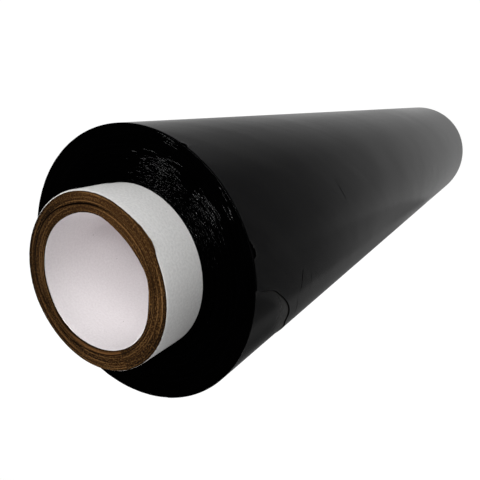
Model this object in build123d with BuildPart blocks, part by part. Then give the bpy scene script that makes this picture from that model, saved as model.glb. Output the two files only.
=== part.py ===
"""Black stretch wrap roll on an extended spiral-wound paper core, standing on its end.

The frame has its origin at the centre of the lower core end and +Z up along the core.
The upper end is the one with the split kraft plies and the torn film tail.
Angles are in degrees about +Z, measured from +X.
"""

from build123d import *

import math
import os

# Core: a white inner ply, brown kraft plies and a white outer ply, wound as strips and glued
core_length = 540.0
bore_diameter = 50.0
inner_ply_thickness = 0.4
kraft_ply_thickness = 0.98
kraft_ply_count = 7
outer_ply_thickness = 0.4
inner_ply_setback = 0.8
outer_ply_setback = 0.2

# Glue lines between the kraft plies, open a little at both cut ends
glue_line_width = 0.24
glue_line_depth = 0.3

# Butt joints of the white strips, which climb the tube as helices
outer_strip_width = 120.0
inner_strip_width = 100.0
butt_joint_width = 0.6
outer_joint_angle = 145.0
inner_joint_angle = 120.0

# Split in the kraft at the upper end: a crescent between two circles that run across the plies
split_ply = 2.4
split_offset = 2.0
split_offset_angle = 51.0
split_half_width = 0.5
split_overlap = 0.3
split_open_angle = 60.0
split_depth = 4.0

# Film: wound to a spiral, with bands of turns that stand uneven at both cut edges
film_width = 500.0
film_diameter = 108.0
band_count = 6
band_relief = 0.3
band_swing = 0.35
band_swing_step = 2.4

# Free tail of the last turn, and the corner torn off its upper end
tail_angle = 170.0
tail_step = 0.3
tear_height = 39.5
tear_angle = 75.0

# How far a cutting body runs past the face that it cuts
overrun = 1.0

# Radii and heights that the pieces share
inner_ply_radius = bore_diameter / 2
kraft_inner_radius = inner_ply_radius + inner_ply_thickness
kraft_outer_radius = kraft_inner_radius + kraft_ply_count * kraft_ply_thickness
core_radius = kraft_outer_radius + outer_ply_thickness
film_radius = film_diameter / 2
film_bottom = (core_length - film_width) / 2
film_top = film_bottom + film_width


def polar(radius, angle):
    """Point of the ground plane at this radius and angle."""
    turn = math.radians(angle)
    return (radius * math.cos(turn), radius * math.sin(turn))


def winding_lead(strip_width, radius):
    """Climb in one turn of a strip that just covers a tube of this radius."""
    wrap = strip_width / (2 * math.pi * radius)
    return strip_width / math.sqrt(1 - wrap**2)


def spiral_outline(start_radius):
    """Outline of wound turns: quarter arcs, each a little tighter, closed by a step at the tail."""
    arc = JernArc(
        start=polar(start_radius, tail_angle),
        tangent=polar(1, tail_angle + 90),
        radius=start_radius,
        arc_size=90,
    )
    for quarter in range(1, 4):
        radius = start_radius - tail_step * quarter / 4
        arc = JernArc(start=arc @ 1, tangent=arc % 1, radius=radius, arc_size=90)
    Line(arc @ 1, polar(start_radius, tail_angle))


def wound_ply(inner_radius, thickness, low, high, strip_width, joint_angle):
    """Paper ply as a tube, cut through by the helix where the edges of its strip meet."""
    lead = winding_lead(strip_width, inner_radius + thickness)
    with BuildPart() as joint:
        with BuildLine() as path:
            Helix(
                pitch=lead,
                height=high - low + lead / 2,
                radius=inner_radius + thickness / 2,
                center=(0, 0, low - lead / 4),
            )
        start = path.line @ 0
        with BuildSketch(Plane(start, x_dir=(start.X, start.Y, 0), z_dir=path.line % 0)):
            Rectangle(thickness + 2 * overrun, butt_joint_width)
        sweep(path=path.line, is_frenet=True)
    with BuildPart() as ply:
        with BuildSketch(Plane.XY.offset(low)):
            Circle(inner_radius + thickness)
            Circle(inner_radius, mode=Mode.SUBTRACT)
        extrude(amount=high - low)
        add(joint.part, rotation=(0, 0, joint_angle), mode=Mode.SUBTRACT)
    return ply


# Kraft wall of the core
with BuildPart() as kraft_tube:
    with BuildSketch(Plane.XZ):
        with Locations((kraft_inner_radius, 0)):
            Rectangle(
                kraft_outer_radius - kraft_inner_radius,
                core_length,
                align=(Align.MIN, Align.MIN),
            )
        glue_radii = [
            kraft_inner_radius + ply * kraft_ply_thickness for ply in range(1, kraft_ply_count)
        ]
        with Locations(*[(radius, end) for radius in glue_radii for end in (0, core_length)]):
            Polygon(
                (-glue_line_width / 2, 0),
                (0, -glue_line_depth),
                (glue_line_width / 2, 0),
                (0, glue_line_depth),
                mode=Mode.SUBTRACT,
            )
    revolve(axis=Axis.Z)
    # Split that gapes on one side, where the plies have come apart at the cut end
    split_radius = kraft_inner_radius + split_ply * kraft_ply_thickness
    split_centre = Vector(*polar(split_offset, split_offset_angle))
    sleeve_centre = split_centre - Vector(*polar(split_half_width, split_open_angle))
    with BuildSketch(Plane.XY.offset(core_length)):
        with Locations(split_centre):
            Circle(split_radius)
        with Locations(sleeve_centre):
            Circle(split_radius - split_half_width + split_overlap, mode=Mode.SUBTRACT)
    extrude(amount=-split_depth, mode=Mode.SUBTRACT)
kraft_tube.part.label = "kraft_tube"

# White plies, outside and inside the kraft
outer_ply = wound_ply(
    kraft_outer_radius,
    outer_ply_thickness,
    outer_ply_setback,
    core_length - outer_ply_setback,
    outer_strip_width,
    outer_joint_angle,
)
outer_ply.part.label = "outer_ply"
inner_ply = wound_ply(
    inner_ply_radius,
    inner_ply_thickness,
    inner_ply_setback,
    core_length - inner_ply_setback,
    inner_strip_width,
    inner_joint_angle,
)
inner_ply.part.label = "inner_ply"

# Corner of the last turn that is torn away, from the free tail to where the tear meets the end
tear_middle = tail_angle + tear_angle / 2
tear_half_span = film_radius * math.sin(math.radians(tear_angle / 2))
with BuildPart() as torn_corner:
    with BuildSketch(Plane.XY.offset(film_top - tear_height - overrun)):
        Polygon(
            (0, 0),
            polar(2 * film_radius, tail_angle),
            polar(2 * film_radius, tail_angle + tear_angle),
            polar(2 * film_radius, tail_angle + 2 * tear_angle),
            align=None,
        )
        with BuildLine():
            spiral_outline(film_radius - tail_step)
        make_face(mode=Mode.SUBTRACT)
    extrude(amount=tear_height + 2 * overrun)
    with BuildSketch(
        Plane(
            origin=(*polar(film_radius + overrun, tear_middle), film_top),
            x_dir=(*polar(1, tear_middle + 90), 0),
            z_dir=(*polar(1, tear_middle), 0),
        )
    ):
        with BuildLine():
            Polyline(
                (tear_half_span, 0),
                (tear_half_span, 2 * overrun),
                (-tear_half_span - overrun, 2 * overrun),
                (-tear_half_span - overrun, -tear_height),
                (tear_half_span - tear_height, -tear_height),
            )
            CenterArc(
                center=(tear_half_span - tear_height, 0),
                radius=tear_height,
                start_angle=-90,
                arc_size=90,
            )
        make_face()
    extrude(amount=-film_radius / 2, mode=Mode.INTERSECT)

# Film, wound on the core
with BuildPart() as stretch_film:
    with BuildSketch(Plane.XY.offset(film_bottom)):
        with BuildLine():
            spiral_outline(film_radius)
        make_face()
        Circle(core_radius, mode=Mode.SUBTRACT)
    extrude(amount=film_width)
    # Bands of turns that wandered as they were wound, with a hollow between each two crests.
    # The last hollow lies just past the outer edge, so that the outer turns fall away.
    band_widths = [1 + band_swing * math.sin(band_swing_step * i) for i in range(band_count)]
    last_hollow = film_radius + tail_step
    band_scale = (last_hollow - core_radius) / (sum(band_widths) - band_widths[-1] / 2)
    with BuildSketch(Plane.XZ):
        for i, width in enumerate(band_widths):
            start = core_radius + band_scale * sum(band_widths[:i])
            hollow = band_relief * (1 + band_swing * math.cos(band_swing_step * i))
            stop = start + band_scale * width
            for end, inward in ((film_bottom, 1), (film_top, -1)):
                with BuildLine():
                    Polyline(
                        (start, end),
                        ((start + stop) / 2, end + inward * hollow),
                        (stop, end),
                        close=True,
                    )
                make_face()
    revolve(axis=Axis.Z, mode=Mode.SUBTRACT)
    add(torn_corner.part, mode=Mode.SUBTRACT)
stretch_film.part.label = "stretch_film"

os.makedirs("parts", exist_ok=True)
export_step(kraft_tube.part, "parts/kraft_tube.step")
export_step(outer_ply.part, "parts/outer_ply.step")
export_step(inner_ply.part, "parts/inner_ply.step")
export_step(stretch_film.part, "parts/stretch_film.step")
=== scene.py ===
"""Looks of a black stretch wrap roll on an extended paper core, standing on its end in a studio.

Sizes of meshes are in millimetres until they are built, and those of lamps and camera in metres.
Angles are in degrees about +Z, measured from +X, as they are in the solid model of the roll.
The upper end has the split plies of the core and the torn corner of the film's last turn.
"""

import logging
import math
from dataclasses import dataclass
from enum import Enum

import bpy
import numpy as np
from mathutils import Matrix, Vector


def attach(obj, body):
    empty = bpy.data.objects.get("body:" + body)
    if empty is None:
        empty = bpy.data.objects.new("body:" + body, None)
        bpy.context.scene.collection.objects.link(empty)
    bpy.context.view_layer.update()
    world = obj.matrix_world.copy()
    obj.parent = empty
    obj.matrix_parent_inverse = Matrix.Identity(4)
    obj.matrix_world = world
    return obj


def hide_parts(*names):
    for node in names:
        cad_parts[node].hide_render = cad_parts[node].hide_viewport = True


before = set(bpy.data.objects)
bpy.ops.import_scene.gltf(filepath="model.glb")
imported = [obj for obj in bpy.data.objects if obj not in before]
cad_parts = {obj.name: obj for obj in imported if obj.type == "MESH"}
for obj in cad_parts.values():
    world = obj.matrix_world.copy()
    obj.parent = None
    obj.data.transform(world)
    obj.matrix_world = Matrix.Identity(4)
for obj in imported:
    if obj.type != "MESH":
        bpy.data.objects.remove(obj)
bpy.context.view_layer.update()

METRES = 0.001
TEAR_EDGE = 0.5  # value of the attribute "tear" at the torn edge itself
TEAR_DULL = 0.498  # value just before it, at which FilmFace paints the torn edge's dark, dull shadow line
Socket = bpy.types.NodeSocket
Material = bpy.types.Material
Object = bpy.types.Object
Colour = tuple[float, float, float]
Curve = tuple[float, ...]
log = logging.getLogger("stretch_wrap_roll")


class Slot(Enum):
    """Material slots of the record."""

    KRAFT = "kraft_board"
    WHITE = "white_paper"
    LINER = "liner_paper"
    FILM = "black_film"


class End(Enum):
    """The two ends of the roll, with the way that each one faces."""

    LOWER = -1
    UPPER = 1


# ---- shapes as functions


def smooth_through(x: np.ndarray, knots: Curve, values: Curve) -> np.ndarray:
    """Curve through given points with no corner, held level past its two ends.

    Between two knots it is the cubic that has the slope of the neighbouring chords at each knot.

    Args:
        x: Where the curve is wanted.
        knots: Places of the given points, rising.
        values: Their heights.

    Returns:
        Height of the curve at each x.
    """
    at, height = np.array(knots, float), np.array(values, float)
    slope = np.gradient(height, at)
    i = np.clip(np.searchsorted(at, x) - 1, 0, len(at) - 2)
    span = at[i + 1] - at[i]
    t = np.clip((x - at[i]) / span, 0, 1)
    return (
        (1 + 2 * t) * (1 - t) ** 2 * height[i]
        + t * (1 - t) ** 2 * span * slope[i]
        + t * t * (3 - 2 * t) * height[i + 1]
        + t * t * (t - 1) * span * slope[i + 1]
    )


def soft_step(x: np.ndarray, start: float, stop: float) -> np.ndarray:
    """Rise from 0 at start to 1 at stop, as 3t squared less 2t cubed."""
    t = np.clip((x - start) / (stop - start), 0, 1)
    return t * t * (3 - 2 * t)


def bump_at(x: np.ndarray, centre: float, width: float) -> np.ndarray:
    """Bell curve of height 1: e to the power of minus the square of the distance in widths."""
    return np.exp(-(((x - centre) / width) ** 2))


def wrapped(angle: np.ndarray) -> np.ndarray:
    """The same angles, brought into the range from -180 to 180 degrees."""
    return (angle + 180) % 360 - 180


@dataclass(frozen=True)
class Ripple:
    """Uneven height over a ring: a seeded sum of sine waves that close on themselves round it.

    Each wave is sin(2 pi r / pitch + n a + shift), with a whole number n of lobes round the turn.
    """

    pitch: tuple[float, float]
    lobes: int
    waves: int
    seed: int

    def height(self, radius: np.ndarray, angle: np.ndarray) -> np.ndarray:
        """Height of the ripple, about 1 at most.

        Args:
            radius: Distance along the ring's width, in millimetres.
            angle: Place round the ring, in degrees.

        Returns:
            Height at each place.
        """
        rng = np.random.default_rng(self.seed)
        pitch = np.exp(rng.uniform(*np.log(self.pitch), self.waves))
        lobes = rng.integers(-self.lobes, self.lobes + 1, self.waves)
        shift = rng.uniform(0, 2 * np.pi, self.waves)
        share = rng.uniform(0.5, 1, self.waves)
        total = np.zeros(np.broadcast(radius, angle).shape)
        for wave in range(self.waves):
            phase = 2 * np.pi * radius / pitch[wave] + lobes[wave] * np.radians(angle)
            total += share[wave] * np.sin(phase + shift[wave])
        return total / (1.5 * math.sqrt(self.waves))


def uneven(angle: np.ndarray, lobes: int, waves: int, seed: int) -> np.ndarray:
    """Ripple that varies only round the turn: read at radius 0, where its pitch has no effect."""
    return Ripple((1.0, 2.0), lobes, waves, seed).height(0 * angle, angle)


# ---- meshes from grids


def linked(name: str, data: bpy.types.ID) -> Object:
    """New object of this name and data, linked into the scene."""
    made = bpy.data.objects.new(name, data)
    bpy.context.scene.collection.objects.link(made)
    return made


@dataclass
class Skin:
    """Closed surface on a grid: the closed outline of a section, carried round in steps.

    The grid has one row for each section and one column for each point of its outline, whose last
    column repeats the first. It is laid out on a chart, by the angle on a circle of radius girth
    and by how far along the outline each point lies.
    """

    name: str
    radius: np.ndarray
    angle: np.ndarray
    height: np.ndarray
    girth: float
    along: np.ndarray
    closed: bool = True

    def points(self) -> np.ndarray:
        """Points of the grid, as x = r cos a, y = r sin a, z = h."""
        turn = np.radians(self.angle)
        radius, turn, height = np.broadcast_arrays(self.radius, turn, self.height)
        return np.stack([radius * np.cos(turn), radius * np.sin(turn), height], axis=-1)

    def corner(self, row: int, column: int) -> np.ndarray:
        """Number of the point at this corner of every quad of the grid."""
        return (self.step + row) % self.rows * self.columns + (self.side + column) % self.columns

    def spot(self, row: int, column: int) -> np.ndarray:
        """Number of the chart's place at this corner of every quad of the grid."""
        return (self.step + row) * (self.columns + 1) + self.side + column

    def caps(self) -> np.ndarray:
        """Quads that shut the first and last sections, from one long side of each to the other."""
        half = np.arange(self.columns // 2 - 1)
        far = self.columns - 1 - half
        first = np.stack([half, half + 1, far - 1, far], axis=-1)
        last = first[:, ::-1] + (self.rows - 1) * self.columns
        return np.concatenate([first, last])

    def build(self) -> Object:
        """Makes the mesh, turned outwards by the sign of the volume that it holds.

        Returns:
            The object, at the origin, with the chart as its UV map.
        """
        points = self.points()
        steps, self.columns = points.shape[0] - 1, points.shape[1] - 1
        self.rows = steps if self.closed else steps + 1
        self.step, self.side = np.meshgrid(np.arange(steps), np.arange(self.columns), indexing="ij")
        order = ((0, 0), (1, 0), (1, 1), (0, 1))
        quads = np.stack([self.corner(*o) for o in order], axis=-1).reshape(-1, 4)
        spots = np.stack([self.spot(*o) for o in order], axis=-1).reshape(-1, 4)
        if not self.closed:
            lids = self.caps()
            row, column = lids // self.columns, lids % self.columns
            quads = np.concatenate([quads, lids])
            spots = np.concatenate([spots, row * (self.columns + 1) + column])
        kept = points[: self.rows, : self.columns].reshape(-1, 3) * METRES
        a, b, c, d = (kept[quads[:, k]] for k in range(4))
        held = np.einsum("ij,ij->", np.cross(c - a, d - b), a + b + c + d)
        if held < 0:
            quads, spots = quads[:, ::-1], spots[:, ::-1]
        mesh = bpy.data.meshes.new(self.name)
        mesh.vertices.add(len(kept))
        mesh.loops.add(quads.size)
        mesh.polygons.add(len(quads))
        mesh.vertices.foreach_set("co", kept.astype(np.float32).ravel())
        mesh.loops.foreach_set("vertex_index", quads.astype(np.int32).ravel())
        mesh.polygons.foreach_set("loop_start", np.arange(0, quads.size, 4, dtype=np.int32))
        across = np.radians(self.angle) * self.girth
        chart = np.stack(np.broadcast_arrays(across, self.along), axis=-1).reshape(-1, 2) * METRES
        layer = mesh.uv_layers.new(name="chart")
        layer.data.foreach_set("uv", chart[spots.ravel()].astype(np.float32).ravel())
        mesh.update(calc_edges=True)
        mesh.validate()
        mesh.shade_smooth()
        self.made = linked(self.name, mesh)
        return self.made

    def mark(self, name: str, values: np.ndarray) -> None:
        """Stores the value at each point of the grid, by a name that a finish reads."""
        layer = self.made.data.attributes.new(name, "FLOAT", "POINT")
        kept = values[: self.rows, : self.columns].astype(np.float32)
        layer.data.foreach_set("value", kept.ravel())

    def dress(self, *finishes: Material, which: np.ndarray | None = None) -> None:
        """Gives the mesh its materials.

        Args:
            finishes: The materials, in order.
            which: Number of the material of each quad of the grid.
        """
        mesh = self.made.data
        for finish in finishes:
            mesh.materials.append(finish)
        if which is not None:
            index = np.zeros(len(mesh.polygons), np.int32)
            index[: which.size] = which.ravel()
            mesh.polygons.foreach_set("material_index", index)


def enrol(made: Object, slot: Slot, *stands_for: str) -> None:
    """Enters a finished piece in the roll: it rides on the root and stands for its solids.

    Args:
        made: The piece.
        slot: Not used.
        stands_for: Nodes of the solid model that it replaces.
    """
    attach(made, "root")
    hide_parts(*stands_for)
    triangles = 2 * len(made.data.polygons)
    log.info("%s stands for %s with %d triangles", made.name, ", ".join(stands_for), triangles)


# ---- finishes


class Bench:
    """Node tree of one material, with short ways to add to it."""

    def __init__(self, name: str) -> None:
        """Starts an empty material."""
        self.material = bpy.data.materials.new(name)
        self.material.use_nodes = True
        self.tree = self.material.node_tree
        self.tree.nodes.clear()

    def add(self, kind: str, inputs: dict | None = None, **settings) -> bpy.types.Node:
        """Adds a node.

        Args:
            kind: Type of the node, without its ShaderNode prefix.
            inputs: Values or output sockets for the node's inputs, by name or number.
            settings: The node's own properties.

        Returns:
            The new node.
        """
        made = self.tree.nodes.new("ShaderNode" + kind)
        for name, value in settings.items():
            setattr(made, name, value)
        for name, value in (inputs or {}).items():
            if isinstance(value, Socket):
                self.tree.links.new(value, made.inputs[name])
            else:
                made.inputs[name].default_value = value
        return made

    def place(self) -> Socket:
        """The piece's own chart, in metres."""
        return self.add("UVMap", uv_map="chart").outputs["UV"]

    def noise(self, across: float, along: float, detail: float, slant: float = 0.0) -> Socket:
        """Fractal noise, from 0 to 1 about a half, over the piece's chart.

        Args:
            across: Grains in a metre round the turn.
            along: Grains in a metre along the section.
            detail: Number of finer layers.
            slant: Angle in radians by which the grain is turned.

        Returns:
            Output socket of the noise.
        """
        scale = (1 / across, 1 / along, 1)
        inputs = {"Vector": self.place(), "Rotation": (0, 0, slant), "Scale": scale}
        local = self.add("Mapping", inputs, vector_type="TEXTURE").outputs["Vector"]
        inputs = {"Vector": local, "Scale": 1.0, "Detail": detail, "Roughness": 0.55}
        return self.add("TexNoise", inputs).outputs["Fac"]

    def attribute(self, name: str) -> Socket:
        """Number that the piece stores at its points under this name."""
        return self.add("Attribute", attribute_name=name).outputs["Fac"]

    def blend(self, fac: Socket, stops: list[tuple[float, Colour]]) -> Socket:
        """Colour that runs through these stops as the factor rises."""
        ramp = self.add("ValToRGB", {"Fac": fac})
        band = ramp.color_ramp
        for element, (place, colour) in zip(band.elements, (stops[0], stops[-1])):
            element.position, element.color = place, (*colour, 1)
        for place, colour in stops[1:-1]:
            band.elements.new(place).color = (*colour, 1)
        return ramp.outputs["Color"]

    def levels(self, fac: Socket, *stops: tuple[float, float]) -> Socket:
        """Grey that runs through these stops as the factor rises."""
        return self.blend(fac, [(place, (level,) * 3) for place, level in stops])

    def spread(
        self, fac: Socket, low: float, high: float, start: float = 0.0, stop: float = 1.0
    ) -> Socket:
        """Number from low to high as the factor goes from start to stop."""
        inputs = {"Value": fac, "From Min": start, "From Max": stop, "To Min": low, "To Max": high}
        return self.add("MapRange", inputs).outputs["Result"]

    def maths(self, way: str, first: object, second: object) -> Socket:
        """Result of one sum on two numbers or sockets."""
        return self.add("Math", {0: first, 1: second}, operation=way).outputs[0]

    def mixed(self, fac: Socket, first: object, second: object) -> Socket:
        """Colour between two colours or sockets."""
        first, second = (c if isinstance(c, Socket) else (*c, 1) for c in (first, second))
        return self.add("Mix", {0: fac, 6: first, 7: second}, data_type="RGBA").outputs[2]

    def relief(self, *layers: tuple[Socket, float]) -> Socket:
        """Normal of a surface that stands up by each height times its distance, one on another."""
        below = {}
        for height, distance in layers:
            bump = self.add("Bump", {"Height": height, "Distance": distance, **below})
            below = {"Normal": bump.outputs["Normal"]}
        return below["Normal"]

    def finish(self, colour: object, rough: Socket, gloss: object, normal: Socket) -> Material:
        """Ends the tree in a Principled shader.

        Args:
            colour: Base colour, as a socket or four numbers.
            rough: Roughness.
            gloss: Specular level, of which 0.5 is that of plain plastic.
            normal: Normal of the surface.

        Returns:
            The material.
        """
        inputs = {"Base Color": colour, "Roughness": rough, "IOR": 1.5, "Normal": normal}
        shader = self.add("BsdfPrincipled", {**inputs, "Specular IOR Level": gloss})
        self.add("OutputMaterial", {"Surface": shader.outputs["BSDF"]})
        return self.material


@dataclass(frozen=True)
class Crease:
    """Short pinched line in the film, by its two ends: angle, and depth below the upper edge."""

    start: tuple[float, float]
    stop: tuple[float, float]
    width: float
    depth: float


@dataclass(frozen=True)
class FilmFace:
    """Smooth outside of the wound film: black, satin, with faint winding waves and creases, and
    along the torn edge a painted shadow line and a painted sheen band.
    """

    name: str
    radius: float
    top_place: float
    colour: Colour = (0.0035, 0.0035, 0.0038)
    # lighter hazy tone of the drag streaks, and also the colour of the painted sheen band beside
    # the torn edge
    haze_and_sheen: Colour = (0.046, 0.0449, 0.0426)
    # painted shadow: dark colour of the line along the torn edge and of the flaps
    edge_shade: Colour = (0.0022, 0.0016, 0.0012)
    creases: tuple[Crease, ...] = ()

    def crease_height(self, bench: Bench) -> Socket:
        """Sum of the creases, each a long narrow spot on the chart."""
        total = bench.maths("ADD", 0.0, 0.0)
        where = bench.place()
        for crease in self.creases:
            ends = [
                Vector((math.radians(a) * self.radius, self.top_place + d)) * METRES
                for a, d in (crease.start, crease.stop)
            ]
            middle, reach = (ends[0] + ends[1]) / 2, ends[1] - ends[0]
            place = {
                "Vector": where,
                "Location": (middle.x, middle.y, 0),
                "Rotation": (0, 0, math.atan2(reach.y, reach.x)),
                "Scale": (reach.length / 2, crease.width * METRES, 1),
            }
            local = bench.add("Mapping", place, vector_type="TEXTURE").outputs["Vector"]
            spot = bench.add("TexGradient", {"Vector": local}, gradient_type="SPHERICAL")
            pinch = bench.maths("MULTIPLY", spot.outputs["Fac"], crease.depth)
            total = bench.maths("ADD", total, pinch)
        return total

    def make(self) -> Material:
        """Builds the material."""
        bench = Bench(self.name)
        slow = bench.noise(6, 9, 2.0)
        streaks = bench.noise(30, 260, 3.0)
        drags = bench.noise(9, 110, 3.0, -0.9)
        grain = bench.noise(900, 900, 2.0)
        creases = self.crease_height(bench)
        normal = bench.relief(
            (slow, 0.0008), (streaks, 0.00003), (drags, 0.00012), (creases, 0.00003)
        )
        tear = bench.attribute("tear")
        # painted sheen: a lighter, rougher band just inside the torn edge, fading round the turn
        band = bench.levels(
            tear, (0.0, 0), (TEAR_EDGE, 0), (0.512, 1), (0.575, 0.6), (0.615, 0)
        )
        around = bench.add("SeparateXYZ", {"Vector": bench.place()}).outputs["X"]
        band = bench.maths("MULTIPLY", band, bench.spread(around, 1.0, 0.1, -0.138, -0.110))
        gone = bench.spread(tear, 0.0, 0.2, 0.56, 0.63)
        # painted shadow: a dark, dull line along the torn edge, which the flaps also get
        edge = bench.levels(tear, (0.490, 0), (0.497, 1), (0.502, 1), (0.505, 0))
        lighter = tuple(1.6 * c for c in self.colour)
        colour = bench.mixed(bench.spread(slow, 0.0, 0.5, 0.35, 0.75), self.colour, lighter)
        colour = bench.mixed(bench.spread(drags, 0.0, 0.1, 0.5, 0.72), colour, self.haze_and_sheen)
        colour = bench.mixed(band, colour, self.haze_and_sheen)
        colour = bench.mixed(edge, colour, self.edge_shade)
        rough = bench.spread(grain, 0.18, 0.23, 0.3, 0.7)
        rough = bench.maths("ADD", rough, bench.spread(edge, 0.0, 0.3))
        rough = bench.maths("ADD", rough, bench.spread(band, 0.0, 0.2))
        dull = bench.maths("MAXIMUM", bench.spread(creases, 0.0, 1.0, 0.0, 0.31), edge)
        gloss = bench.maths("SUBTRACT", bench.spread(dull, 0.5, 0.0), gone)
        return bench.finish(colour, rough, gloss, normal)


@dataclass(frozen=True)
class FilmEdge:
    """Cut edges of the wound turns: black, and so finely grooved that they mirror nothing."""

    colour: Colour = (0.0004, 0.0004, 0.00045)
    groove: Colour = (0.0002, 0.0002, 0.0002)

    def make(self) -> Material:
        """Builds the material."""
        bench = Bench("film_edge")
        turns = bench.noise(260, 3600, 2.0)
        bands = bench.noise(60, 900, 2.0)
        normal = bench.relief((bands, 0.0003), (turns, 0.00012))
        colour = bench.mixed(bench.spread(bands, 0.0, 1.0, 0.3, 0.7), self.colour, self.groove)
        rough = bench.spread(turns, 0.7, 0.9, 0.3, 0.7)
        return bench.finish(colour, rough, 0.0, normal)


@dataclass(frozen=True)
class FilmGlint:
    """Short stretches of a cut edge that were drawn smooth by the knife, and so catch the lamps."""

    colour: Colour = (0.0015, 0.0015, 0.0016)

    def make(self) -> Material:
        """Builds the material."""
        bench = Bench("film_glint")
        turns = bench.noise(900, 5200, 2.0)
        normal = bench.relief((turns, 0.0001))
        rough = bench.spread(turns, 0.06, 0.12, 0.3, 0.7)
        specks = bench.noise(1900, 5200, 1.0)
        gloss = bench.spread(specks, 0.0, 1.0, 0.54, 0.62)
        return bench.finish((*self.colour, 1), rough, gloss, normal)


@dataclass(frozen=True)
class KraftBoard:
    """Brown board, cut across its plies at the ends: fine ply lines, fibres and glue stains, with
    painted light and painted shade where the glow and shade marks are set.
    """

    dark: Colour = (0.004, 0.0016, 0.0004)
    middle: Colour = (0.0255, 0.0106, 0.0022)
    light: Colour = (0.15, 0.077, 0.027)
    # painted light: lighter kraft where the glow mark is set
    glow: Colour = (0.15, 0.068, 0.023)
    # painted shade: darker kraft where the shade mark is set
    shade: Colour = (0.006, 0.003, 0.001)

    def make(self) -> Material:
        """Builds the material."""
        bench = Bench("kraft_board")
        plies = bench.noise(22, 1700, 3.0)
        fibres = bench.noise(1300, 1900, 2.0)
        stains = bench.noise(60, 260, 2.0)
        stops = [(0.38, self.dark), (0.46, self.middle), (0.55, self.middle), (0.64, self.light)]
        colour = bench.blend(plies, stops)
        colour = bench.mixed(bench.spread(fibres, 0.0, 0.6, 0.52, 0.66), colour, self.light)
        colour = bench.mixed(bench.spread(fibres, 0.85, 0.0, 0.34, 0.46), colour, self.dark)
        colour = bench.mixed(bench.spread(stains, 0.0, 0.55, 0.5, 0.75), colour, self.dark)
        colour = bench.mixed(bench.attribute("glow"), colour, self.glow)
        colour = bench.mixed(bench.attribute("shade"), colour, self.shade)
        normal = bench.relief((plies, 0.0003), (fibres, 0.00018))
        rough = bench.spread(fibres, 0.75, 0.95, 0.3, 0.7)
        return bench.finish(colour, rough, 0.03, normal)


@dataclass(frozen=True)
class Paper:
    """White wound paper: faint clouds of fibre, rare specks, and a soft tooth."""

    name: str
    colour: Colour
    cloud: Colour
    speck: Colour = (0.22, 0.20, 0.18)
    soil: Colour = (0.42, 0.34, 0.27)

    def make(self) -> Material:
        """Builds the material."""
        bench = Bench(self.name)
        clouds = bench.noise(1100, 1100, 4.0)
        tooth = bench.noise(1500, 1500, 3.0)
        specks = bench.noise(900, 900, 0.0)
        colour = bench.mixed(bench.spread(clouds, 0.0, 1.0, 0.33, 0.67), self.colour, self.cloud)
        colour = bench.mixed(bench.spread(specks, 0.0, 0.7, 0.885, 0.90), colour, self.speck)
        colour = bench.mixed(bench.attribute("soil"), colour, self.soil)
        normal = bench.relief((tooth, 0.00006), (clouds, 0.00008))
        rough = bench.spread(tooth, 0.82, 0.95, 0.3, 0.7)
        return bench.finish(colour, rough, 0.25, normal)


# ---- the film


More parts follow.
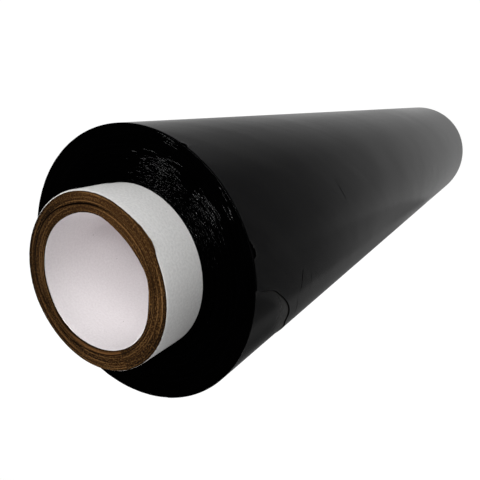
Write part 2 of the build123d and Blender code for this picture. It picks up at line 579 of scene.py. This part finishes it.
@dataclass
class FilmRoll:
    """Wound film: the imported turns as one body, and the last turn with its torn corner over it.

    Each flap is given by the angles where it starts, is highest and ends, and by its share of the
    height. flank_place is where the outside's part of the chart starts, which wound works out.
    """

    bore: float = 32.68
    radius: float = 53.98
    low: float = 20.0
    high: float = 520.0
    tail_angle: float = 170.0
    turn_step: float = 0.3
    clearance: float = 0.02
    steps_round: int = 430
    dot_share: float = 0.22
    arc_share: float = 0.09
    glint_sectors: tuple[tuple[float, float], ...] = ((-82, 14), (-50, 12))
    tear_angles: Curve = (
        -190, -175, -162, -155, -150, -146.2, -138.2, -130.4, -123.6, -118.3, -115.4, -114.8
    )
    tear_depths: Curve = (51.5, 52.0, 51.0, 48.0, 42.8, 39.1, 35.6, 28.6, 19.9, 11.2, 1.7, 0.0)
    # angles and widths of the painted sheen band on the film under the torn corner
    sheen_band_angles: Curve = (-160, -139, -131.8, -123, -117)
    sheen_band_widths: Curve = (12, 9.4, 5, 3.6, 2.6)
    flaps: tuple[Curve, ...] = ((-103.6, -102.4, -95, 1.0), (-56.4, -55.4, -52, 0.5))
    creases: tuple[Crease, ...] = (
        Crease((-85.0, 87.4), (-103.8, 96.8), 0.55, 0.5),
        Crease((-111.5, 37.9), (-135.1, 41.2), 0.75, 0.55),
        Crease((-116.0, 46.4), (-137.4, 54.5), 0.4, 0.44),
        Crease((-126.6, 36.0), (-152.8, 52.5), 0.45, 0.44),
    )
    chart_radius: float = 53.6
    flank_place: float = 0.0

    def outside(self, turn: np.ndarray) -> np.ndarray:
        """Radius of the last turn: it falls by one step in proportion to the turn from the tail."""
        return self.radius - self.turn_step * turn / 360

    def end_relief(self, radius: np.ndarray, angle: np.ndarray, end: End) -> np.ndarray:
        """How far the cut end lies inward: bands of turns, the turns' own edges, and a worn rim.

        Args:
            radius: Distance from the axis.
            angle: Angle about the axis.
            end: Which end of the roll.

        Returns:
            Depth of the surface below the plane of the end, in millimetres.
        """
        seed = 20 + end.value
        bands = Ripple((2.6, 7.0), 1, 6, seed).height(radius, angle)
        depth = 0.22 + 0.16 * bands
        if end is End.UPPER:
            depth = depth + 0.15 * Ripple((0.5, 1.1), 3, 14, seed + 40).height(radius, angle)
        return depth + 0.22 * soft_step(radius, self.radius - 2.2, self.radius)

    def tear_line(self, angle: np.ndarray) -> np.ndarray:
        """Depth of the torn edge below the upper end: a smooth curve through the tear's points."""
        return smooth_through(angle, self.tear_angles, self.tear_depths)

    def tear_distance(self, angle: np.ndarray, depth: np.ndarray) -> np.ndarray:
        """Nearness to the torn edge, as half of 1 at the edge itself.

        On the last turn it falls by the distance to the nearest of many points of the curve over
        40 mm. Where the corner is gone, it rises by a tenth over the width of the painted sheen
        band there.

        Args:
            angle: Angle about the axis, from -190 to 170.
            depth: Depth below the upper end.

        Returns:
            Number from 0 to 1 for each place.
        """
        line_angle = np.linspace(self.tear_angles[0], self.tear_angles[-1], 260)
        line_depth = self.tear_line(line_angle)
        across = np.radians(angle)[..., None] * self.radius - np.radians(line_angle) * self.radius
        down = depth[..., None] - line_depth
        nearest = np.sqrt((across**2 + down**2).min(axis=-1))
        gone = (depth < self.tear_line(angle)) & (angle < self.tear_angles[-1])
        width = smooth_through(angle, self.sheen_band_angles, self.sheen_band_widths)
        return np.clip(TEAR_EDGE + np.where(gone, 0.1 * nearest / width, -nearest / 40), 0, 1)

    def dashes(self, share: np.ndarray) -> np.ndarray:
        """Which quads of the ends are smooth: seeded dots near the core, and arcs further out.

        They crowd in two sectors, each a bell curve of the angle, and are rare in between.

        Args:
            share: Place of each column between the core and the rim, from 0 to 1.

        Returns:
            True for the quads that are smooth.
        """
        chance = np.random.default_rng(17).random((self.steps_round, len(share)))
        angle = wrapped(self.tail_angle + np.linspace(0, 360, self.steps_round))[:, None]
        narrowing = 1.25 - 1.05 * share
        crowd = 0.001 + sum(
            bump_at(angle, middle, width * narrowing) for middle, width in self.glint_sectors
        )
        dots = (chance < self.dot_share * crowd) & (share < 0.46)
        ring = bump_at(share, 0.56, 0.13) + 0.5 * bump_at(share, 0.92, 0.07)
        start = chance < self.arc_share * crowd * ring
        return dots | np.any([np.roll(start, far, axis=0) for far in range(4)], axis=0)

    def wound(self) -> None:
        """Body of packed turns.

        The section goes up the bore, out over the upper end, down the outside and back in under the
        lower end. Its outer radius follows the spiral one turn in from the last, so it steps down
        beneath the tail. The ends are pushed in by end_relief.
        """
        upper = np.linspace(0, 1, 150)[:-1]
        lower = np.linspace(1, 0, 30)[1:]
        width = self.high - self.low
        bore_rows = np.array([0.0, 20, 250, 480])
        flank = np.concatenate([np.linspace(1.5, 56, 30), np.linspace(72, 470, 10)])
        flank = np.concatenate([[0.35, 0.45], flank, [499.0, 499.65]])
        on_bore, on_flank = np.zeros_like(bore_rows), np.ones_like(flank)
        on_upper, on_lower = np.ones_like(upper), np.ones_like(lower)
        share = np.concatenate([on_bore, upper, [0.997], on_flank, [0.997], lower])
        depth = np.concatenate(
            [width - bore_rows, 0 * upper, [0.06], flank, [width - 0.06], width * on_lower]
        )
        side = np.concatenate([on_bore, on_upper, [1.0], 0 * on_flank, [-1.0], -on_lower])
        turn = np.append(np.linspace(0, 359.9, self.steps_round), 360)[:, None]
        angle = self.tail_angle + turn - 360
        rim = self.outside(np.where(turn < 360, turn, 0)) - self.turn_step
        radius = self.bore + (rim - self.bore) * share
        below = np.where(side > 0, self.end_relief(radius, angle, End.UPPER), 0)
        below = below - np.where(side < 0, self.end_relief(radius, angle, End.LOWER), 0)
        height = self.high - depth - below
        steps = np.abs(np.diff(share)) * (self.chart_radius - self.bore) + np.abs(np.diff(depth))
        run = np.concatenate([[0], np.cumsum(steps)])
        self.flank_place = run[len(bore_rows) + len(upper) + 1] - flank[0]
        skin = Skin("film_wound", radius, angle, height, self.radius, run)
        made = skin.build()
        tear = self.tear_distance(*np.broadcast_arrays(angle, depth))
        skin.mark("tear", np.where(side == 0, tear, 0))
        face = FilmFace("film_under", self.radius, self.flank_place).make()
        which = (side[:-1] != 0) + 0 * skin.step
        which[self.dashes(share[:-1]) & (side[:-1] != 0)] = 2
        skin.dress(face, FilmEdge().make(), FilmGlint().make(), which=which)
        enrol(made, Slot.FILM, "stretch_film")

    def last_turn(self) -> None:
        """Last turn as a thin closed sheet from the tail round to where it goes under it.

        The section is the sheet's two faces. Its upper edge follows the torn line up to the upper
        end and then runs level, a little uneven. The torn edge and two small flaps of the upper
        edge stand off the roll by e to the power of minus the distance below the edge. The torn
        edge carries a painted shadow line, and the flaps are painted as dark and dull.
        """
        spans = ((0, 40, 25), (40, 66, 33), (66, 76.4, 52), (76.4, 80, 4), (80, 92, 36))
        spans += ((92, 130, 34), (130, 138, 20))
        steps = [np.linspace(*span, endpoint=False) for span in spans]
        turn = np.concatenate([*steps, np.linspace(138, 359.8, 180)])[:, None]
        angle = self.tail_angle + turn - 360
        near = np.array([0, 0.12, 0.3, 0.6, 1, 1.6, 2.5, 4, 6, 9, 13, 18, 25, 34, 46])
        rest = np.linspace(0, 1, 24)[1:-1]
        foot = np.array([0.6, 0.2, 0])
        edge = self.tear_line(angle)
        fray = 0.07 * uneven(angle, 60, 12, 9)
        torn = soft_step(edge, 0.0, 2.0)
        flap = sum(
            size * soft_step(angle, start, crest) * (1 - soft_step(angle, crest, stop))
            for start, crest, stop, size in self.flaps
        )
        top = edge + fray + (1 - torn) * (0.4 - 0.35 * flap)
        width = self.high - self.low
        under = width - top - near[-1]
        depth = [top + near, top + near[-1] + under * rest, width - foot + 0 * top]
        depth = np.concatenate(depth, axis=1)
        lifted = torn * soft_step(turn, 12, 40) * np.exp(-(depth - top) / 1.5)
        stand = 0.1 * lifted + 1.3 * flap * np.exp(-(depth - top) / 0.9)
        outer = self.outside(turn) + stand - 0.1 * np.exp(-(depth - top) / 0.15)
        inner = self.outside(turn) - self.turn_step + self.clearance + stand
        radius = np.concatenate([outer, inner[:, ::-1], outer[:, :1]], axis=1)
        depth = np.concatenate([depth, depth[:, ::-1], depth[:, :1]], axis=1)
        height, place = self.high - depth, self.flank_place + depth
        skin = Skin("film_last_turn", radius, angle, height, self.radius, place, closed=False)
        made = skin.build()
        tear = np.minimum(self.tear_distance(angle + 0 * depth, depth), TEAR_EDGE)
        faint = 1 - soft_step(depth, 1, 5) * (1 - soft_step(-angle, 153, 157))
        # painted shade: the flaps are painted as dark and dull as the torn edge's shadow line, and
        # take the black cut-edge finish
        raised = flap * np.exp(-np.abs(depth - top) / 1.2)
        dull = np.clip(12 * raised, 0, 1)
        tear = tear - 0.03 * faint * (dull < 0.05)
        skin.mark("tear", tear + (TEAR_DULL - tear) * dull)
        face = FilmFace("film_face", self.radius, self.flank_place, creases=self.creases).make()
        cut = (edge < 0.5) | ((edge > 4) & (angle > -153))
        which = np.zeros(skin.step.shape, np.int32)
        which[:, [0, 1]] = cut[:-1]
        which[:, -1] = 1
        which[raised[:-1, :-1] > 0.2] = 1
        skin.dress(face, FilmEdge().make(), which=which)
        enrol(made, Slot.FILM, "stretch_film")


# ---- the core


@dataclass(frozen=True)
class Strip:
    """White paper strip, wound as a tube with a narrow groove where its edges meet.

    seam is the groove's angle at height 0, lead its climb in one turn, and soil the strength of the
    stain along the upper rim. The strip shows its outer face or its inner one.
    """

    name: str
    inner: float
    outer: float
    rows: np.ndarray
    seam: float
    lead: float
    faces_out: bool
    soil: float
    finish: Paper

    def build(self) -> Object:
        """Makes the tube.

        The grid's columns climb it as helices, at the strip's own slant: the angle is the column's
        angle plus 360 times the height over the lead. The groove, a bell curve about the seam's
        column, is pressed into the face that shows. The outer strip also swells near its rim.

        Returns:
            The dressed piece.
        """
        close = np.array([-1.0, -0.6, -0.4, -0.2, 0, 0.2, 0.4, 0.6, 1.0])
        column = np.concatenate([close, np.linspace(1.6, 358.4, 104), [359.0]])[:, None]
        rows, top = self.rows, self.rows[-1]
        both = np.concatenate([rows, rows[::-1], rows[:1]])
        outward = np.concatenate([np.ones(len(rows)), np.zeros(len(rows)), [1.0]])
        angle = self.seam + column + 360 * both / self.lead
        fray = 0.06 * uneven(angle, 70, 14, 31)
        rim = bump_at(both, top, 0.5)
        roll = bump_at(both, top - 1.4, 1.1) - 0.6 * bump_at(both, top, 0.7)
        groove = bump_at(wrapped(column), 0, 0.42)
        lift = 0.06 * roll - 0.22 * groove
        radius = self.inner + (self.outer - self.inner) * outward + 0 * column
        if self.faces_out:
            swell = bump_at(wrapped(angle), -6, 24) * soft_step(both, 520.5, 525) * (1 - 0.6 * rim)
            radius = radius + (lift + 0.38 * swell) * outward
        else:
            radius = radius - lift * (1 - outward)
        place = both + 700 * (1 - outward)
        skin = Skin(self.name, radius, angle, both + fray * rim, self.outer, place)
        made = skin.build()
        stain = self.soil * bump_at(both, top, 0.35) + 0.5 * groove
        skin.mark("soil", np.clip(stain + 0 * column, 0, 1))
        skin.dress(self.finish.make())
        return made


@dataclass
class PaperCore:
    """Spiral-wound core: the brown wall, the white paper round it and the one in its bore."""

    length: float = 540.0
    bore: float = 25.0
    kraft_inner: float = 25.4
    kraft_outer: float = 32.26
    outside: float = 32.66
    ply: float = 0.49
    steps_round: int = 330
    chart_radius: float = 29.0
    split_depth: float = 3.2
    split_angles: Curve = (
        -193, -150, -110, -72, -50, -30, -8, 15, 32, 55, 75, 95, 120, 145, 167, 210,
    )
    split_radii: Curve = (
        26.75, 26.6, 27.2, 28.2, 28.3, 28.3, 28.3, 29.2, 29.3, 29.5, 29.5, 28.4, 28.3, 27.2, 26.75,
        26.6,
    )
    split_gaps: Curve = (
        0.3, 0.12, 0.12, 0.16, 0.25, 0.55, 0.45, 0.4, 0.38, 0.34, 0.42, 0.6, 0.65, 0.5, 0.35, 0.12,
    )
    burr_angles: Curve = (
        -180, -140, -110, -100, -90, -82, -74, -62, -40, -10, 10, 22, 32, 60, 80, 100, 120, 140,
        180,
    )
    burr_sizes: Curve = (
        0.3, 0.4, 0.2, 0.15, 0.35, 1.35, 1.1, 0.45, 0.35, 0.25, 0.2, 0.2, 0.3, 0.6, 0.7, 0.3, 0.1,
        0.2, 0.3,
    )
    mouth_angles: Curve = (
        -180, -150, -120, -100, -85, -50, -38, -20, 0, 20, 60, 90, 108, 120, 135, 145, 180,
    )
    mouth_radii: Curve = (
        25.2, 25.5, 24.9, 25.4, 24.65, 24.6, 25.2, 25.1, 24.85, 25.0, 24.95, 24.9, 25.85, 25.7,
        25.0, 24.85, 25.2,
    )

    def cut_relief(self, radius: np.ndarray, angle: np.ndarray, end: End) -> np.ndarray:
        """How far the cut end lies inward: each ply by its own amount, with lines between.

        A line is a bell curve about each whole number of plies, and a ply's own height is a ripple
        that reads the ply's number, so that it is the same across the ply.

        Args:
            radius: Distance from the axis.
            angle: Angle about the axis.
            end: Which end of the core.

        Returns:
            Depth below the plane of the end, in millimetres.
        """
        seed = 60 + end.value
        wander = 0.16 * Ripple((3.0, 9.0), 3, 6, seed).height(radius, angle)
        count = (radius + wander - self.kraft_inner) / self.ply
        number = np.round(count)
        line = np.exp(-(((count - np.floor(count) - 0.5) / 0.16) ** 2))
        own = Ripple((2.1, 5.7), 5, 10, seed + 7).height(number, angle)
        worn = 0.2 * np.clip((28.8 - radius) / 3.4, 0, 1) ** 2
        return 0.12 + 0.1 * own + 0.14 * line * (1 + 0.5 * own) + worn

    def kraft(self) -> None:
        """Brown wall of the core.

        The section goes up the bore side, out over the upper end as far as the split, down and up
        the split's two sides, on to the burr that the knife pushed over the white paper, down the
        outside, and in under the lower end. Each of its stretches has radii, depths below the upper
        end, and places on the chart.
        """
        angle = np.linspace(-180, 180, self.steps_round + 1)[:, None]
        middle = smooth_through(angle, self.split_angles, self.split_radii)
        gap = smooth_through(angle, self.split_angles, self.split_gaps)
        middle = middle + 0.05 * uneven(angle, 22, 12, 3)
        deep = self.split_depth * np.clip(gap / 0.5, 0.2, 1)
        near, far = middle - gap / 2, middle + gap / 2
        out = self.kraft_outer - 0.02
        burr = smooth_through(angle, self.burr_angles, self.burr_sizes)
        burr = burr * (1 + 0.16 * uneven(angle, 90, 24, 5))
        walls = np.array([499.0, 60, 0.75, 0.6])
        wall_reach = np.array([0, 0, 0, 0.9])
        first = np.linspace(0, 1, 42)
        second = np.linspace(0, 1, 60)
        inner_side = self.kraft_inner + 0.02
        mouth = smooth_through(angle, self.mouth_angles, self.mouth_radii)
        mouth = mouth + 0.04 * uneven(angle, 50, 16, 8)
        top_in = mouth + (near - mouth) * first
        top_out = far + (out - far) * second
        level_in = self.cut_relief(top_in, angle, End.UPPER) + 0.12 * bump_at(first, 0, 0.03)
        level_out = self.cut_relief(top_out, angle, End.UPPER)
        fall = np.array([0.25, 0.6, 1.0, 1.0, 0.6, 0.25])
        pinch = np.array([0.05, 0.15, 0.35, 0.65, 0.85, 0.95])
        lip_share = np.array([0.45, 0.85, 1.0, 0.96, 0.5])
        lip_depth = np.array([0.05, 0.1, 0.2, 0.42, 0.5])
        below = np.array([0.8, 60, 480, 539.8])
        bottom = np.linspace(1, 0, 56)
        bottom_r = inner_side + (out - inner_side) * bottom + 0 * angle
        fade = np.minimum(1, 6 * bottom * (1 - bottom))
        bottom_z = self.cut_relief(bottom_r, angle, End.LOWER) * fade
        flat = 0 * angle
        stretches = (
            (inner_side + (mouth - inner_side) * wall_reach, walls + flat, -walls),
            (top_in, level_in, 6.9 * first * 0.4),
            (near + gap * pinch, deep * fall, 3 + fall),
            (top_out, level_out, 4 + 4.1 * second),
            (out + burr * lip_share, lip_depth + flat, 8.2 + lip_share),
            (out + 0 * below + flat, below + flat, 10 + below),
            (bottom_r[:, 1:], self.length - bottom_z[:, 1:], 560 + 6.9 * bottom[1:]),
            (inner_side + flat, walls[:1] + flat, [600]),
        )
        radius, depth, run = (np.concatenate(part, axis=-1) for part in zip(*stretches))
        place = radius + 0.3 * (run > 9) * run
        skin = Skin("core_kraft", radius, angle, self.length - depth, self.chart_radius, place)
        made = skin.build()
        on_top = depth < 1.0
        # glow paints light into the kraft: painted light towards the lamps round -50 degrees, a
        # lighter band by the bore and a bright thin line near 112 degrees
        lighter_by_bore = bump_at(radius, 26.1, 0.75) * soft_step(angle, 88, 108) * on_top
        bright_line = 0.6 * bump_at(radius, 30.3, 0.28) * bump_at(angle, 112, 32) * on_top
        skin.mark("glow", np.clip(0.55 * lighter_by_bore + bright_line + 0.15 * bump_at(angle, -50, 42), 0, 1))
        # shade paints darkness into the kraft: painted shade in a slit, round 45 and -170 degrees
        # where the ring is turned from the lamps, and down the split, and a painted shadow along
        # the mouth and outer rims, widest round 130 degrees
        slit_shade = bump_at(radius, 31.0, 0.2) * bump_at(angle, 115, 42) * on_top
        away = 0.45 * bump_at(angle, 45, 60) + 0.25 * bump_at(wrapped(angle), -170, 40)
        split = 1.6 * bump_at(np.arange(depth.shape[1]), len(walls) + len(first) + 2.5, 3.2)
        rim_shade_side = bump_at(angle, 130, 40)
        rims = (0.55 + 0.3 * rim_shade_side) * bump_at(radius, mouth, 0.22 + 0.5 * rim_shade_side)
        rims = rims + 0.5 * bump_at(radius, out + 0.5 * burr, 0.3)
        skin.mark("shade", np.clip(slit_shade + away * on_top + split + rims, 0, 1))
        skin.dress(KraftBoard().make())
        enrol(made, Slot.KRAFT, "kraft_tube")

    def outer_paper(self) -> None:
        """White paper round the core, with its upper rim rolled a little outwards."""
        stub = np.array([0.2, 0.5, 1, 1.6, 2.4, 3.4, 5, 7, 9, 12, 15, 18])
        rows = np.concatenate([stub, np.linspace(22, 518, 120), self.length - 0.15 - stub[::-1]])
        strip = Strip(
            name="core_outer_paper",
            inner=self.kraft_outer,
            outer=self.outside,
            rows=rows,
            seam=145 + 360 * 36.8 / 147.9,
            lead=147.9,
            faces_out=True,
            soil=0.25,
            finish=Paper("white_paper", (0.84, 0.835, 0.825), (0.725, 0.72, 0.71)),
        )
        enrol(strip.build(), Slot.WHITE, "outer_ply")

    def liner(self) -> None:
        """White paper that lines the bore, a little short of the ends."""
        edge = np.array([0.8, 1.1, 1.6, 2.4, 3.6, 5])
        strip = Strip(
            name="core_liner",
            inner=self.bore,
            outer=self.kraft_inner,
            rows=np.concatenate([edge, np.linspace(8, 532, 176), self.length - edge[::-1]]),
            seam=120 + 360 * 31.3 / 128.3,
            lead=128.3,
            faces_out=False,
            soil=0.15,
            finish=Paper("liner_paper", (0.88, 0.842, 0.852), (0.81, 0.77, 0.78)),
        )
        enrol(strip.build(), Slot.LINER, "inner_ply")


# ---- the studio


@dataclass(frozen=True)
class Softbox:
    """Square soft lamp that faces the upper end of the roll."""

    name: str
    azimuth: float
    elevation: float
    size: float
    power: float
    distance: float = 1.2

    def hang(self, target: Vector) -> None:
        """Puts the lamp at its place round the target and turns it to face it."""
        turn, rise = math.radians(self.azimuth), math.radians(self.elevation)
        level = math.cos(rise)
        away = Vector((math.cos(turn) * level, math.sin(turn) * level, math.sin(rise)))
        light = bpy.data.lights.new(self.name, "AREA")
        light.size = self.size
        light.energy = self.power
        lamp = linked(self.name, light)
        lamp.location = target + away * self.distance
        lamp.rotation_mode = "QUATERNION"
        lamp.rotation_quaternion = away.to_track_quat("Z", "Y")


@dataclass
class Studio:
    """Plain studio: a white floor that curves up, a glowing disc that gives the film a painted
    reflection, and lamps.
    """

    floor_radius: float = 3000.0
    cove_radius: float = 700.0
    wall_height: float = 1500.0
    target: Curve = (0.0, 0.0, 0.52)
    softboxes: tuple[Softbox, ...] = (
        Softbox("softbox_wide", -50, 45, 1.0, 8.0),
        Softbox("softbox_right", -10, 40, 0.3, 0.6),
        Softbox("softbox_left", -73, 50, 0.3, 5.5),
        Softbox("softbox_back", 145, 50, 0.3, 5.5),
        Softbox("softbox_far", 80, 60, 1.0, 8.0),
    )
    world_level: float = 0.03
    eye: Curve = (0, -0.14066, 0.65470)
    eye_right: Curve = (-0.37496, -0.77724, -0.50528)
    eye_up: Curve = (0.92656, -0.29665, -0.23126)
    lens: float = 37.48
    glow_radii: Curve = (0, 60, 84, 115, 140, 167, 210, 245, 290, 370, 480, 650, 900, 1400)
    glow_levels: Curve = (
        0.42, 0.40, 0.345, 0.285, 0.265, 0.21, 0.14, 0.096, 0.067, 0.049, 0.046, 0.07, 0.25, 1.0,
    )
    side_levels: Curve = (
        0.80, 0.76, 0.49, 0.42, 0.38, 0.35, 0.31, 0.26, 0.22, 0.20, 0.20, 0.25, 0.45, 1.0,
    )
    shaded_share: float = 0.8

    def floor(self) -> None:
        """Floor with a wall all round it, as a disc, a quarter round and a cylinder in one skin.

        Its back lies 20 mm further out, so that it is closed. To the camera, to mirrors and through
        clear things it is white, and a tenth of it still takes the lamps, so the shadow stays.
        """
        bend = np.linspace(0, math.pi / 2, 14)
        flat = np.array([0.5, 150, 400, 900, 1600])
        reach = self.floor_radius - self.cove_radius
        back = self.floor_radius + 20
        rim_radius = [self.floor_radius, back, back, 0.5, 0.5]
        rim_height = [self.wall_height, self.wall_height, -20, -20, 0]
        radius = np.concatenate([flat, reach + self.cove_radius * np.sin(bend), rim_radius])
        height = np.concatenate([0 * flat, self.cove_radius * (1 - np.cos(bend)), rim_height])
        angle = np.linspace(0, 360, 97)[:, None]
        skin = Skin("floor", radius, angle, height - 0.02, self.floor_radius, radius)
        made = skin.build()
        bench = Bench("floor_white")
        path = bench.add("LightPath")
        seen = bench.maths("MAXIMUM", path.outputs["Is Camera Ray"], path.outputs["Is Glossy Ray"])
        seen = bench.maths("MAXIMUM", seen, path.outputs["Is Transmission Ray"])
        matte = bench.add("BsdfDiffuse", {"Color": (0.95, 0.95, 0.95, 1)}).outputs["BSDF"]
        white = bench.add("Emission", {"Color": (1, 1, 1, 1), "Strength": 1.08}).outputs["Emission"]
        share = bench.maths("MULTIPLY", seen, 0.9)
        surface = bench.add("MixShader", {0: share, 1: matte, 2: white}).outputs["Shader"]
        bench.add("OutputMaterial", {"Surface": surface})
        skin.dress(bench.material)

    def painted_reflection_glow(self, x: np.ndarray, y: np.ndarray) -> np.ndarray:
        """Brightness of the glowing disc round the roll, as the film mirrors it: a painted
        reflection.

        It falls with the distance from the roll and rises to white further out. One straight edge
        divides a lighter side from a darker one, a painted shadow deepens part of the darker side,
        and the far side of the roll is white.
        """
        reach = np.hypot(x, y)
        bearing = np.degrees(np.arctan2(y, x))
        front = smooth_through(reach, self.glow_radii, self.glow_levels)
        front = front * (1 + 0.35 * soft_step(-bearing, 100, 140) * soft_step(reach, 120, 190))
        side = smooth_through(reach, self.glow_radii, self.side_levels)
        side = side * (1 + 0.45 * soft_step(bearing, 2, 24))
        level = front + (side - front) * soft_step(bearing, -60, 10)
        # painted shade in the reflection: a darker side past one straight edge, a painted shadow,
        # and a darker sector between 120 and 180 degrees
        across = 0.879 * (x + 154) - 0.477 * (y + 136)
        dark = (1 - soft_step(across, -4, 4)) * soft_step(np.abs(bearing), 80, 100)
        beyond = wrapped(bearing - 180)
        near = soft_step(reach, 170, 120)
        shadow = soft_step(beyond, -30, -5) * soft_step(-beyond, -12 - 18 * near, 4 - 4 * near)
        shaded = self.shaded_share * (1 - 0.45 * shadow)
        inside = 1 - soft_step(reach, 700, 1200)
        level = level * (1 - (1 - shaded) * dark * inside)
        left = soft_step(bearing, 120, 150) * (1 - soft_step(bearing, 158, 180))
        left = left * soft_step(reach, 85, 125)
        level = level * (1 - (0.55 + 0.25 * soft_step(reach, 300, 380)) * left * inside)
        back = np.clip(1.6 * bump_at(wrapped(bearing - 80), 0, 26), 0, 1)
        return level + (1 - level) * back

    def glow_disc(self) -> None:
        """Disc that only mirrors see, thin and just above the floor, glowing by
        painted_reflection_glow: a painted reflection.
        """
        radius = np.concatenate([np.linspace(1, 420, 70), np.linspace(440, 1400, 24)])
        lift = np.concatenate([np.full(len(radius), 0.6), np.full(len(radius), 0.4), [0.6]])
        radius = np.concatenate([radius, radius[::-1], radius[:1]])
        angle = np.linspace(0, 360, 241)[:, None]
        skin = Skin("painted_reflection_disc", radius, angle, lift, self.floor_radius, radius)
        made = skin.build()
        points = skin.points()
        skin.mark("glow", self.painted_reflection_glow(points[..., 0], points[..., 1]))
        bench = Bench("painted_reflection_glow")
        glow = bench.add("Emission", {"Strength": bench.attribute("glow")}).outputs["Emission"]
        bench.add("OutputMaterial", {"Surface": glow})
        skin.dress(bench.material)
        for ray in ("camera", "diffuse", "shadow", "transmission", "volume_scatter"):
            setattr(made, "visible_" + ray, False)

    def lamps(self) -> None:
        """Five softboxes over the upper end, and a dim even world."""
        for softbox in self.softboxes:
            softbox.hang(Vector(self.target))
        world = bpy.data.worlds.new("studio")
        world.use_nodes = True
        grey = (*[self.world_level] * 3, 1)
        world.node_tree.nodes["Background"].inputs["Color"].default_value = grey
        bpy.context.scene.world = world

    def camera(self) -> None:
        """Camera at the photograph's place: close above the upper end, looking down the roll."""
        data = bpy.data.cameras.new("camera")
        data.sensor_width = 36
        data.lens = self.lens
        data.clip_start = 0.01
        data.clip_end = 50
        made = linked("camera", data)
        right, up = Vector(self.eye_right), Vector(self.eye_up)
        turned = Matrix((right, up, right.cross(up))).transposed().to_4x4()
        made.matrix_world = Matrix.Translation(self.eye) @ turned
        bpy.context.scene.camera = made


def main() -> None:
    """Builds the roll and the studio."""
    logging.basicConfig(level=logging.INFO, format="%(message)s")
    studio = Studio()
    studio.camera()
    studio.lamps()
    studio.floor()
    studio.glow_disc()
    film = FilmRoll()
    film.wound()
    film.last_turn()
    core = PaperCore()
    core.kraft()
    core.outer_paper()
    core.liner()
    bpy.context.scene.view_settings.view_transform = "Standard"


if __name__ == "__main__":
    main()
